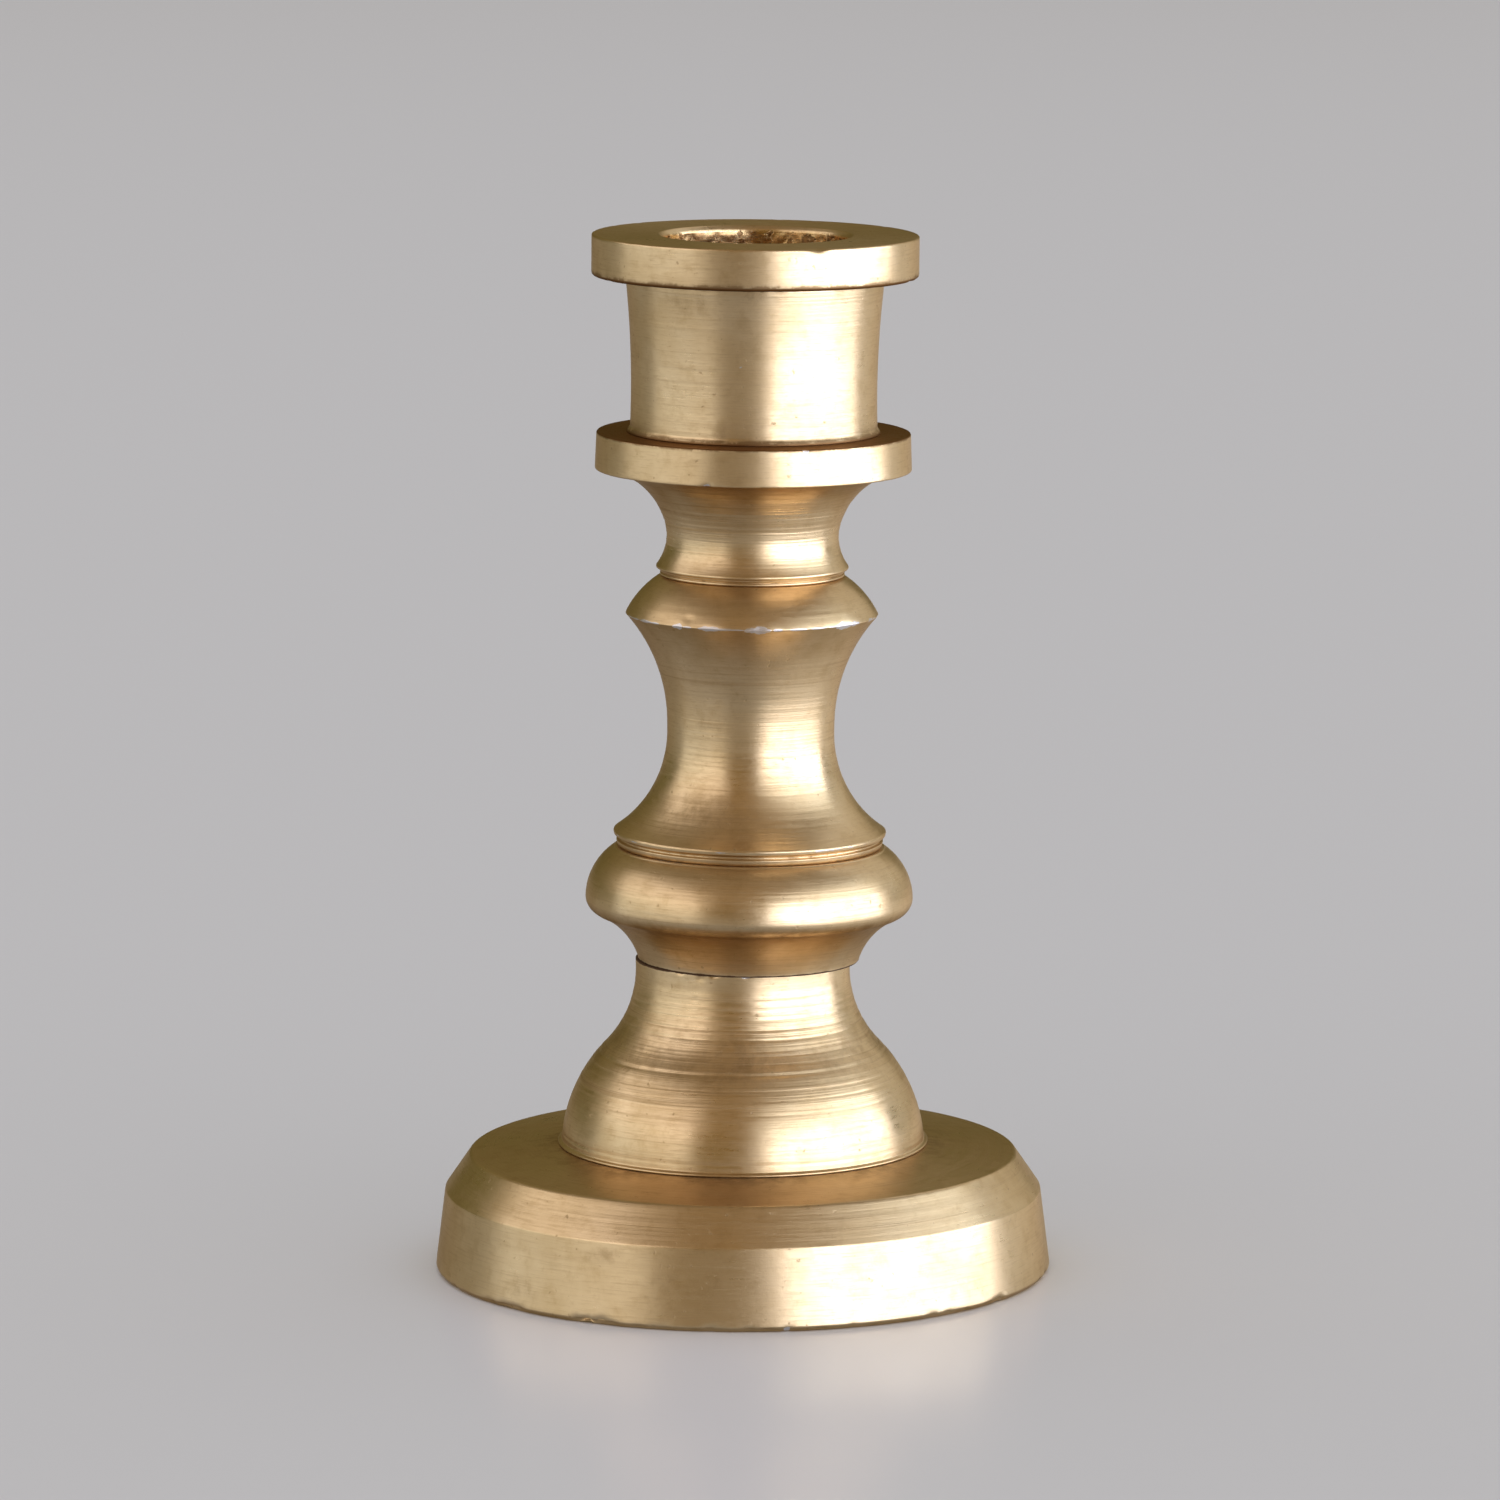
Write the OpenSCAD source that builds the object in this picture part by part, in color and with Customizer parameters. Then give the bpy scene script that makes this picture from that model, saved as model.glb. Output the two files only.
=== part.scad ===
// Small turned candlestick: brass sections stacked on a central tie rod.
// Millimetres, +Z up. The origin is the centre of the underside, on the table.
// Outlines are lists of [radius, height] points, turned about the Z axis.

/* [Base plate] */
// Diameter of the base plate where it stands
base_d = 45.1; // [42:0.1:60]
// Height of the plate's side wall
wall_h = 5.9; // [5.5:0.1:9]
// How far the side wall leans in over its height
wall_lean = 0.7; // [0:0.1:2]
// Height of the chamfer above the side wall
chamfer_h = 2.7; // [1.5:0.1:4]
// How far the chamfer runs in
chamfer_w = 1.85; // [0.5:0.05:3]
// Rise of the top face from the chamfer to the foot of the dome
top_rise = 0.7; // [0:0.05:1.5]
// Diameter of the shallow relief in the underside
relief_d = 35; // [20:0.5:38]

/* [Base dome] */
// Diameter of the dome where it meets the plate
dome_d = 27.1; // [24:0.1:32]
// Height of the dome, from the plate to the seam at its neck
dome_h = 13.7; // [12:0.1:18]
// Diameter where the swelling turns into the hollow neck
shoulder_d = 20.6; // [18:0.1:23]
// Height of that turn above the plate
shoulder_h = 7.1; // [5:0.1:9]
// Diameter of the neck at the seam
dome_neck_d = 15.7; // [14:0.1:17]
// How far the swelling bows out from a straight line
dome_swell = 0.63; // [0.1:0.01:1.2]
// How far the neck bows in from a straight line
dome_hollow = 0.78; // [0.1:0.01:1.2]

/* [Collar] */
// Diameter of the collar's foot, just wider than the neck below it
collar_foot_d = 16.2; // [14.5:0.1:17.5]
// Greatest diameter of the collar
collar_d = 23.9; // [22:0.1:28]
// Height of the collar
collar_h = 8.3; // [7.5:0.1:11]
// Height of its underside edge above the seam
collar_edge_h = 3.4; // [2.5:0.1:4]
// Height of its greatest diameter above the seam
collar_wide_h = 4.65; // [4.4:0.05:5.4]
// How far the foot's hollow bows in
collar_hollow = 0.5; // [0.1:0.01:0.8]
// How far the fat upper side bows out
collar_swell = 0.5; // [0.1:0.01:0.9]

/* [Baluster] */
// Diameter of the flared skirt
skirt_d = 19.9; // [18:0.1:24]
// Diameter of the waist
waist_d = 12.2; // [10:0.1:14]
// Height of the waist above the joint with the collar
waist_h = 8.7; // [7:0.1:11]
// Diameter of the knop's sharp edge
knop_d = 18.4; // [16:0.1:23]
// Height of the knop's edge above the joint with the collar
knop_h = 17.1; // [15:0.1:18]
// Height of the whole baluster
baluster_h = 19.9; // [19.5:0.1:23]
// How far the skirt's hollow bows in
skirt_hollow = 1.1; // [0.2:0.05:1.5]
// How far the hollow below the knop bows in
knop_hollow = 0.85; // [0.2:0.05:1.2]
// How far the top of the knop bows out
knop_swell = 0.22; // [0.05:0.01:0.5]

/* [Neck and drip pan] */
// Diameter of the narrow neck below the pan
neck_d = 12.5; // [11:0.1:13.5]
// Height of the neck, up to the underside of the pan
neck_h = 7.75; // [7:0.05:10]
// Diameter of the drip pan
pan_d = 23; // [22:0.1:28]
// Thickness of the drip pan
pan_t = 2.7; // [2:0.1:4]
// How far the hollow below the pan bows in
pan_hollow = 1.05; // [0.2:0.05:1.3]

/* [Candle cup] */
// Diameter of the hole that takes the candle
socket_d = 13.6; // [12:0.1:14.5]
// Depth of the hole
socket_depth = 12; // [8:0.1:12.5]
// Outside diameter of the cup's tube at its middle
cup_d = 17.9; // [17.5:0.1:19]
// Height of the tube, from the pan to the rim flange
tube_h = 11.35; // [11:0.05:14]
// How far the tube draws in between its foot and the flange
tube_hollow = 0.25; // [0.05:0.01:0.4]
// Diameter of the rim flange
rim_d = 23.7; // [21.5:0.1:27]
// Thickness of the rim flange
rim_t = 3; // [2:0.1:4]

/* [Tie rod] */
// Outside diameter of the rod and its threads
rod_d = 4; // [3.4:0.1:4.4]
// Pitch of the threads
pitch = 0.7; // [0.5:0.05:0.7]
// Diameter of the spigots that centre one section in the next
spigot_d = 8.4; // [7.6:0.1:8.8]

/* [Hidden] */

brass = "#b08d4f";
steel = "#9a9c9e";

round_fn = 96;
thread_fn = 48;
arc_steps = 12;

// Heights at which one section stands on the next
plate_top = wall_h + chamfer_h + top_rise;
seam = plate_top + dome_h;
collar_top = seam + collar_h;
knop_top = collar_top + baluster_h;
pan_bottom = knop_top + neck_h;
pan_top = pan_bottom + pan_t;
rim_bottom = pan_top + tube_h;
total_h = rim_bottom + rim_t;
socket_floor = total_h - socket_depth;

// Nut and washer, in a pocket under the plate
washer_d = 9;
washer_t = 0.8;
nut_flats = 7;
nut_h = 3.2;
pocket_d = 11;
nut_trim = 0.35;
nut_bottom = 0.9;
relief_depth = nut_bottom - 0.4;
washer_bottom = nut_bottom + nut_h;
pocket_depth = washer_bottom + washer_t;

// Fits
rod_gap = 0.15;
spigot_gap = 0.05;
spigot_l = 1.3;
spigot_end_gap = 0.15;
recess_l = spigot_l + spigot_end_gap;
cup_spigot_l = 3.4;
thread_gap = 0.05;
thread_depth = 0.6 * pitch;
cut = 1;

// Threads on the rod: whole turns, counted from the end of each
rod_bottom = relief_depth;
low_turns = ceil((washer_bottom - rod_bottom) / pitch);
floor_web = 0.8;
boss_h = 1.2;
rod_end_gap = 0.5;
blind_top = min(pan_top + boss_h, socket_floor - floor_web);
rod_top = blind_top - rod_end_gap;
high_turns = ceil((rod_top - pan_top + cup_spigot_l) / pitch) + 1;
high_thread = rod_top - high_turns * pitch;

// Small edges and grooves
foot_bevel = 0.3;
mouth_bevel = 0.3;
groove_in = 0.25;
collar_edge_in = 0.7;
collar_edge_swell = 0.22;
skirt_ring_h = 1;
skirt_edge_h = 0.2;
knop_top_out = 0.55;
lip_out = 0.75;
lip_ring_h = 0.5;
lip_edge_h = 0.15;
lip_hollow = 0.2;
neck_waist = 0.39;
pan_step = 0.9;
pan_lean = 0.1;
tube_foot_out = 0.1;
tube_head_out = 0.45;

// Points along the arc from p to q that bows outwards by s, or inwards where s is negative
function bow(p, q, s) =
    let (chord = norm(q - p))
    let (reach = (chord * chord / 4 + s * s) / (2 * s))
    let (out = [q[1] - p[1], p[0] - q[0]] / chord)
    let (middle = (p + q) / 2 + out * (s - reach))
    let (start = atan2(p[1] - middle[1], p[0] - middle[0]))
    let (sweep = sign(s) * 2 * asin(chord / abs(2 * reach)))
    [for (i = [0:arc_steps])
        let (a = start + sweep * i / arc_steps)
        middle + abs(reach) * [cos(a), sin(a)]];

// A solid turned from an outline that runs upwards, closed along the axis
module turned(outline, steps = round_fn) {
    first = outline[0];
    last = outline[len(outline) - 1];
    rotate_extrude($fn = steps)
        polygon(concat([[0, first[1]]], outline, [[0, last[1]]]));
}

// Stub below a section that drops into the recess of the one beneath
module spigot(z, length) {
    translate([0, 0, z - length])
        cylinder(d = spigot_d, h = length + cut / 2, $fn = round_fn);
}

// Recess in the top of a section, cut past its top face
module recess(z, depth) {
    translate([0, 0, z - depth])
        cylinder(d = spigot_d + 2 * spigot_gap, h = depth + cut, $fn = round_fn);
}

// Clear hole for the rod, right through a section
module rod_hole(z_low, z_high) {
    translate([0, 0, z_low - cut])
        cylinder(d = rod_d + 2 * rod_gap, h = z_high - z_low + 2 * cut, $fn = round_fn);
}

// Outline of a threaded length made of ring-shaped turns, running upwards from z
function thread_outline(z, turns, gap) =
    let (crest = rod_d / 2 + gap)
    let (root = crest - thread_depth)
    let (tooth = [[root, 0], [crest, 0.4 * pitch], [crest, 0.6 * pitch]])
    concat([for (i = [0:turns - 1]) for (point = tooth) point + [0, z + i * pitch]],
           [[root, z + turns * pitch]]);

// Cutter for a tapped hole
module tap(z, turns) {
    turned(thread_outline(z, turns, thread_gap), thread_fn);
}

// Chamfered disc that carries the whole weight, with the nut's pocket underneath
module base_plate() {
    r = base_d / 2;
    outline = [[r - foot_bevel, 0], [r, foot_bevel], [r - wall_lean, wall_h],
               [r - wall_lean - chamfer_w, wall_h + chamfer_h], [dome_d / 2, plate_top]];
    color(brass)
        difference() {
            turned(outline);
            translate([0, 0, -cut])
                cylinder(d = relief_d, h = cut + relief_depth, $fn = round_fn);
            translate([0, 0, -cut])
                cylinder(d = pocket_d, h = cut + pocket_depth, $fn = round_fn);
            recess(plate_top, recess_l);
            rod_hole(0, plate_top);
        }
}

// Swelling dome that draws in to a hollow neck
module base_dome() {
    foot = [dome_d / 2, plate_top];
    turn = [shoulder_d / 2, plate_top + shoulder_h];
    neck = [dome_neck_d / 2, seam];
    color(brass)
        difference() {
            union() {
                turned(concat(bow(foot, turn, dome_swell), bow(turn, neck, -dome_hollow)));
                spigot(plate_top, spigot_l);
            }
            recess(seam, recess_l);
            rod_hole(plate_top - spigot_l, seam);
        }
}

// Fat ring with a hollow foot, between the dome and the baluster
module collar() {
    foot = [collar_foot_d / 2, seam];
    edge = [collar_d / 2 - collar_edge_in, seam + collar_edge_h];
    widest = [collar_d / 2, seam + collar_wide_h];
    top = [skirt_d / 2 - groove_in, collar_top];
    color(brass)
        difference() {
            union() {
                turned(concat(bow(foot, edge, -collar_hollow),
                              bow(edge, widest, collar_edge_swell),
                              bow(widest, top, collar_swell)));
                spigot(seam, spigot_l);
            }
            recess(collar_top, recess_l);
            rod_hole(seam - spigot_l, collar_top);
        }
}

// Waisted column with a flared skirt below and a sharp-edged knop above
module baluster() {
    r_skirt = skirt_d / 2;
    skirt_bottom = collar_top + skirt_ring_h;
    ring = [[r_skirt - groove_in, collar_top], [r_skirt - groove_in, skirt_bottom],
            [r_skirt, skirt_bottom]];
    skirt = [r_skirt, skirt_bottom + skirt_edge_h];
    waist = [waist_d / 2, collar_top + waist_h];
    knop = [knop_d / 2, collar_top + knop_h];
    top = [neck_d / 2 + knop_top_out, knop_top];
    color(brass)
        difference() {
            union() {
                turned(concat(ring, bow(skirt, waist, -skirt_hollow),
                              bow(waist, knop, -knop_hollow), bow(knop, top, knop_swell)));
                spigot(collar_top, spigot_l);
            }
            recess(knop_top, recess_l);
            rod_hole(collar_top - spigot_l, knop_top);
        }
}

// Short hollow neck that spreads into the flat drip pan
module neck_and_pan() {
    r_lip = neck_d / 2 + lip_out;
    lip_bottom = knop_top + lip_ring_h;
    ring = [[r_lip - groove_in, knop_top], [r_lip - groove_in, lip_bottom], [r_lip, lip_bottom]];
    lip = [r_lip, lip_bottom + lip_edge_h];
    waist = [neck_d / 2, knop_top + neck_h * neck_waist];
    spread = [pan_d / 2 - pan_step, pan_bottom];
    pan = [[pan_d / 2, pan_bottom], [pan_d / 2 - pan_lean, pan_top]];
    color(brass)
        difference() {
            union() {
                turned(concat(ring, bow(lip, waist, -lip_hollow),
                              bow(waist, spread, -pan_hollow), pan));
                spigot(knop_top, spigot_l);
            }
            recess(pan_top, cup_spigot_l + spigot_end_gap);
            rod_hole(knop_top - spigot_l, pan_top);
        }
}

// Tube with a thick rim, bored for the candle and tapped from below for the rod
module candle_cup() {
    r_tube = cup_d / 2;
    foot = [r_tube + tube_foot_out, pan_top];
    head = [r_tube + tube_head_out, rim_bottom];
    rim = [[rim_d / 2, rim_bottom], [rim_d / 2, total_h]];
    color(brass)
        difference() {
            union() {
                turned(concat(bow(foot, head, -tube_hollow), rim));
                spigot(pan_top, cup_spigot_l);
            }
            translate([0, 0, socket_floor])
                cylinder(d = socket_d, h = socket_depth + cut, $fn = round_fn);
            translate([0, 0, total_h - mouth_bevel])
                cylinder(d1 = socket_d, d2 = socket_d + 4 * mouth_bevel, h = 2 * mouth_bevel,
                         $fn = round_fn);
            tap(high_thread, high_turns);
            translate([0, 0, pan_top])
                cylinder(d = rod_d - 2 * thread_depth, h = blind_top - pan_top, $fn = round_fn);
        }
}

// Rod with a thread at each end; it clamps the whole stack
module tie_rod() {
    low = thread_outline(rod_bottom, low_turns, 0);
    high = thread_outline(high_thread, high_turns, 0);
    shank = [[rod_d / 2, rod_bottom + low_turns * pitch], [rod_d / 2, high_thread]];
    color(steel)
        turned(concat(low, shank, high), thread_fn);
}

// Flat washer between the nut and the pocket's roof
module washer() {
    color(steel)
        translate([0, 0, washer_bottom])
            difference() {
                cylinder(d = washer_d, h = washer_t, $fn = round_fn);
                rod_hole(0, washer_t);
            }
}

// Hexagon nut with chamfered corners
module nut() {
    corner = nut_flats / sqrt(3);
    edge = [corner + nut_trim, nut_trim];
    color(steel)
        difference() {
            intersection() {
                translate([0, 0, nut_bottom])
                    cylinder(r = corner, h = nut_h, $fn = 6);
                turned([[corner - nut_trim, nut_bottom], [edge[0], nut_bottom + edge[1]],
                        [edge[0], washer_bottom - edge[1]], [corner - nut_trim, washer_bottom]]);
            }
            tap(rod_bottom, low_turns);
        }
}

base_plate();
base_dome();
collar();
baluster();
neck_and_pan();
candle_cup();
tie_rod();
washer();
nut();
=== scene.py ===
import math

import bpy
import numpy as np
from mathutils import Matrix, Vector


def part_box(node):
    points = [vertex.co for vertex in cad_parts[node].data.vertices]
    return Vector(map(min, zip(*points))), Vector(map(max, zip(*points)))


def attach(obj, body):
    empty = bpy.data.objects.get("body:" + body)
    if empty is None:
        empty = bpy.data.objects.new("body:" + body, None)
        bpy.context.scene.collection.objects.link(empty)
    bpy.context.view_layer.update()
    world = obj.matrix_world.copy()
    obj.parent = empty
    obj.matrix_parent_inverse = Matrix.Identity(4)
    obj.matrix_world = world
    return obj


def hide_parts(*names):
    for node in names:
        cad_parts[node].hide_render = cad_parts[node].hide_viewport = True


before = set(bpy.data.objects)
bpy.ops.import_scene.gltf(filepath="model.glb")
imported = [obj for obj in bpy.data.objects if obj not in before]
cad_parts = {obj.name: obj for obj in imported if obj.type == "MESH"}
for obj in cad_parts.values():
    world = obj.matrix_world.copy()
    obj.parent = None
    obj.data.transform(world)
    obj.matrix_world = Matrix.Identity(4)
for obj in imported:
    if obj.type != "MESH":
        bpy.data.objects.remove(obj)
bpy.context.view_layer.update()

# A small turned brass candlestick. Outlines are lists of (radius, height) points in millimetres, turned about Z.
# Angles round the piece are in degrees from +X. The camera stands on the -Y side.

MM = 0.001
FRONT = -90.0


def top_of(node):
    """Height of a CAD node's highest point, in millimetres."""
    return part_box(node)[1].z / MM


def radius_of(node):
    """Greatest radius of a CAD node, in millimetres."""
    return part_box(node)[1].x / MM


# Heights of the joints and greatest radii, from the frame
PLATE_TOP = top_of("base_plate")
SEAM = top_of("base_dome")
COLLAR_TOP = top_of("collar")
KNOP_TOP = top_of("baluster")
PAN_TOP = top_of("neck_and_pan")
RIM_TOP = top_of("candle_cup")
BASE_R = radius_of("base_plate")
DOME_R = radius_of("base_dome")
COLLAR_R = radius_of("collar")
SKIRT_R = radius_of("baluster")
PAN_R = radius_of("neck_and_pan")
RIM_R = radius_of("candle_cup")

# Radii and heights between them, as the CAD has them
WALL_H, WALL_LEAN = 5.9, 0.7
CHAMFER_H, CHAMFER_W = 2.7, 1.85
RELIEF_R, RELIEF_H = 17.5, 0.5
POCKET_R, POCKET_H = 5.5, 4.9
SHOULDER_R, SHOULDER_H = 10.3, 7.1
DOME_NECK_R = 7.85
COLLAR_FOOT_R = 8.1
COLLAR_EDGE_H, COLLAR_WIDE_H = 3.4, 4.65
WAIST_R, WAIST_H = 6.1, 8.7
KNOP_R, KNOP_H = 9.2, 17.1
NECK_R, NECK_H = 6.25, 7.75
SOCKET_R, SOCKET_DEPTH = 6.8, 12.0
TUBE_R = 8.95
RIM_T = 3.0
ROD_HOLE_R = 2.15
SPIGOT_R, SPIGOT_L = 4.2, 1.3
CUP_SPIGOT_L = 3.4
SLACK = 0.05
RECESS_GAP = 0.15

KNOP_EDGE = COLLAR_TOP + KNOP_H
RIM_BOTTOM = RIM_TOP - RIM_T
SOCKET_FLOOR = RIM_TOP - SOCKET_DEPTH

# How the stem sits on the foot: a little off its axis, and not quite upright
STEM_SHIFT = 0.42
STEM_LEAN = math.radians(0.56)

# Longest step along an outline that shows, and number of steps round a piece
STEP = 0.1
SECTORS = 384

# Depth of the tool's rings where no mark makes them deeper, their two spacings, and how fast a mark fades
CUT = 0.0012
FINE_PITCH, BROAD_PITCH = 0.13, 0.4
MARK_FADE = 0.5
# A nick takes in only what lies this near the piece's outer radius at that height
NICK_REACH = 0.45
RIM_SEARCH = 0.35


# ---- Outlines ----

def bow(p, q, s, steps=24):
    """Points from p to q along an arc that bows out by s, or in where s is negative."""
    p, q = np.array(p, float), np.array(q, float)
    chord = np.linalg.norm(q - p)
    reach = (chord ** 2 / 4 + s * s) / (2 * s)
    out = np.array([q[1] - p[1], p[0] - q[0]]) / chord
    middle = (p + q) / 2 + out * (s - reach)
    start = math.atan2(p[1] - middle[1], p[0] - middle[0])
    sweep = math.copysign(2 * math.asin(chord / abs(2 * reach)), s)
    angles = start + sweep * np.linspace(0, 1, steps + 1)
    return [tuple(middle + abs(reach) * np.array([math.cos(a), math.sin(a)])) for a in angles]


def soften(outline, corners):
    """Rounds some corners of an outline: corners is a list of (point, radius)."""
    points = [np.array(p, float) for p in outline]
    radii = {}
    for where, radius in corners:
        nearest = min(range(len(points)), key=lambda i: np.linalg.norm(points[i] - np.array(where)))
        radii[nearest] = radius
    result = []
    for i, here in enumerate(points):
        if i not in radii:
            result.append(here)
            continue
        before, after = points[i - 1], points[(i + 1) % len(points)]
        back, ahead = before - here, after - here
        back_len, ahead_len = np.linalg.norm(back), np.linalg.norm(ahead)
        back, ahead = back / back_len, ahead / ahead_len
        half = math.acos(np.clip(back @ ahead, -1, 1)) / 2
        reach = min(radii[i] / math.tan(half), 0.9 * back_len, 0.9 * ahead_len)
        start, end = here + back * reach, here + ahead * reach
        for t in np.linspace(0, 1, 7):
            result.append((1 - t) ** 2 * start + 2 * t * (1 - t) * here + t * t * end)
    return result


def core(bottom, top, spigot_l=SPIGOT_L, recess_l=SPIGOT_L + RECESS_GAP):
    """The inside of a section, from its top recess down the rod's hole to its spigot."""
    return [(SPIGOT_R + SLACK, top), (SPIGOT_R + SLACK, top - recess_l), (ROD_HOLE_R, top - recess_l),
            (ROD_HOLE_R, bottom - spigot_l), (SPIGOT_R, bottom - spigot_l), (SPIGOT_R, bottom)]


def plate_outline():
    chamfer_r = BASE_R - WALL_LEAN
    face_r = chamfer_r - CHAMFER_W
    recess_floor = PLATE_TOP - SPIGOT_L - RECESS_GAP
    outline = [(POCKET_R, RELIEF_H), (RELIEF_R, RELIEF_H), (RELIEF_R, 0), (BASE_R - 0.3, 0), (BASE_R, 0.3),
               (chamfer_r, WALL_H), (face_r, WALL_H + CHAMFER_H), (DOME_R - 0.1, PLATE_TOP),
               (SPIGOT_R + SLACK, PLATE_TOP), (SPIGOT_R + SLACK, recess_floor), (ROD_HOLE_R, recess_floor),
               (ROD_HOLE_R, POCKET_H), (POCKET_R, POCKET_H)]
    return soften(outline, [((BASE_R - 0.3, 0), 0.15), ((BASE_R, 0.3), 0.25), ((chamfer_r, WALL_H), 0.35),
                            ((face_r, WALL_H + CHAMFER_H), 0.4)])


def dome_outline():
    turn = (SHOULDER_R, PLATE_TOP + SHOULDER_H)
    lip = DOME_R - 0.25
    return ([(lip - 0.15, PLATE_TOP), (DOME_R, PLATE_TOP + 0.04), (DOME_R, PLATE_TOP + 0.16)]
            + bow((lip, PLATE_TOP + 0.28), turn, 0.62, 40)
            + bow(turn, (DOME_NECK_R, SEAM - 0.06), -0.78, 40)[1:]
            + [(DOME_NECK_R - 0.06, SEAM)]
            + core(PLATE_TOP, SEAM))


def collar_outline():
    """Its foot reaches just below the seam, so that the stem's lean opens no gap there."""
    edge = (COLLAR_R - 0.7, SEAM + COLLAR_EDGE_H)
    widest = (COLLAR_R, SEAM + COLLAR_WIDE_H)
    outline = ([(DOME_NECK_R - 0.3, SEAM - 0.02), (COLLAR_FOOT_R - 0.07, SEAM - 0.09), (COLLAR_FOOT_R, SEAM)]
               + bow((COLLAR_FOOT_R, SEAM + 0.06), edge, -0.5, 30)
               + bow(edge, widest, 0.22, 16)[1:]
               + bow(widest, (SKIRT_R - 0.05, COLLAR_TOP - 0.12), 0.5, 30)[1:]
               + [(SKIRT_R - 0.12, COLLAR_TOP - 0.02), (SKIRT_R - 0.4, COLLAR_TOP)]
               + core(SEAM, COLLAR_TOP))
    return soften(outline, [(edge, 0.35)])


def baluster_outline():
    groove_low = (SKIRT_R - 0.2, COLLAR_TOP + 0.45)
    groove_high = (SKIRT_R - 0.05, COLLAR_TOP + 0.85)
    skirt = (SKIRT_R, COLLAR_TOP + 1.05)
    waist = (WAIST_R, COLLAR_TOP + WAIST_H)
    knop = (KNOP_R, KNOP_EDGE)
    knop_ring = NECK_R + 0.55
    outline = ([(SKIRT_R - 0.42, COLLAR_TOP), (SKIRT_R - 0.3, COLLAR_TOP + 0.1), groove_low,
                (SKIRT_R - 0.42, COLLAR_TOP + 0.55), (SKIRT_R - 0.4, COLLAR_TOP + 0.7), groove_high, skirt]
               + bow((SKIRT_R - 0.03, skirt[1] + 0.12), waist, -1.1, 50)
               + bow(waist, knop, -0.85, 50)[1:]
               + bow(knop, (knop_ring, KNOP_TOP - 0.08), 0.24, 30)[1:]
               + [(knop_ring - 0.2, KNOP_TOP)]
               + core(COLLAR_TOP, KNOP_TOP))
    return soften(outline, [(skirt, 0.1), (knop, 0.09), (groove_low, 0.08), (groove_high, 0.08)])


def neck_outline():
    lip_r = NECK_R + 0.75
    narrow = (NECK_R, KNOP_TOP + 0.39 * NECK_H)
    pan_bottom = KNOP_TOP + NECK_H
    spread = (PAN_R - 0.9, pan_bottom - 0.02)
    outline = ([(lip_r - 0.42, KNOP_TOP), (lip_r - 0.28, KNOP_TOP + 0.08), (lip_r - 0.3, KNOP_TOP + 0.2),
                (lip_r - 0.42, KNOP_TOP + 0.26), (lip_r - 0.28, KNOP_TOP + 0.33),
                (lip_r - 0.24, KNOP_TOP + 0.5), (lip_r - 0.02, KNOP_TOP + 0.56), (lip_r, KNOP_TOP + 0.64)]
               + bow((lip_r - 0.02, KNOP_TOP + 0.72), narrow, -0.2, 24)
               + bow(narrow, spread, -1.05, 50)[1:]
               + [(PAN_R, pan_bottom), (PAN_R - 0.1, PAN_TOP)]
               + core(KNOP_TOP, PAN_TOP, recess_l=CUP_SPIGOT_L + RECESS_GAP))
    return soften(outline, [((PAN_R, pan_bottom), 0.12), ((PAN_R - 0.1, PAN_TOP), 0.12), (spread, 0.15)])


def cup_outline():
    outline = ([(TUBE_R + 0.25, PAN_TOP), (TUBE_R + 0.2, PAN_TOP + 0.18)]
               + bow((TUBE_R + 0.02, PAN_TOP + 0.42), (TUBE_R + 0.42, RIM_BOTTOM - 0.25), -0.2, 50)
               + [(TUBE_R + 0.36, RIM_BOTTOM - 0.06), (TUBE_R + 0.5, RIM_BOTTOM), (RIM_R, RIM_BOTTOM),
                  (RIM_R, RIM_TOP), (SOCKET_R + 0.25, RIM_TOP), (SOCKET_R, RIM_TOP - 0.3),
                  (SOCKET_R, SOCKET_FLOOR), (0.4, SOCKET_FLOOR), (0.4, PAN_TOP + 1.3),
                  (ROD_HOLE_R, PAN_TOP + 1.2), (ROD_HOLE_R, PAN_TOP - CUP_SPIGOT_L),
                  (SPIGOT_R, PAN_TOP - CUP_SPIGOT_L), (SPIGOT_R, PAN_TOP)])
    return soften(outline, [((RIM_R, RIM_BOTTOM), 0.3), ((RIM_R, RIM_TOP), 0.16),
                            ((SOCKET_R + 0.25, RIM_TOP), 0.2)])


def inside(a, b):
    """True on the stretches of an outline that no one sees: spigots, recesses and the rod's hole."""
    return max(a[0], b[0]) <= SPIGOT_R + SLACK + 0.01


def plate_inside(a, b):
    """The same for the base plate, with its underside and the nut's pocket."""
    underside = max(a[1], b[1]) < 0.6 and max(a[0], b[0]) < BASE_R - 0.3
    return inside(a, b) or underside or max(a[0], b[0]) <= POCKET_R + 0.01


def spaced(outline, hidden, step):
    """Splits the stretches of a closed outline that show into short steps; the hidden ones stay long."""
    points = [np.array(p, float) for p in outline]
    result = []
    for a, b in zip(points, points[1:] + points[:1]):
        length = np.linalg.norm(b - a)
        if length < 1e-6:
            continue
        parts = 1 if hidden(a, b) else max(1, math.ceil(length / step))
        result += [a + (b - a) * k / parts for k in range(parts)]
    return np.array(result)


# ---- Marks on the surface ----

def bell(x, width):
    return np.exp(-(x / width) ** 2)


def away(angle, degrees):
    """How far angles in radians are from one in degrees, in degrees, the short way round."""
    return (np.degrees(angle) - degrees + 180) % 360 - 180


def ring_noise(length, rng, pitch, smooth):
    """Random heights between -1 and 1 along a run in millimetres, as a cutting tool leaves them."""
    count = int(length / pitch) + 4
    raw = rng.uniform(-1, 1, count)
    kernel = np.hanning(smooth + 2)[1:-1]
    raw = np.convolve(raw, kernel / kernel.sum(), "same")
    return lambda s: np.interp(s / pitch, np.arange(count), raw)


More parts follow.
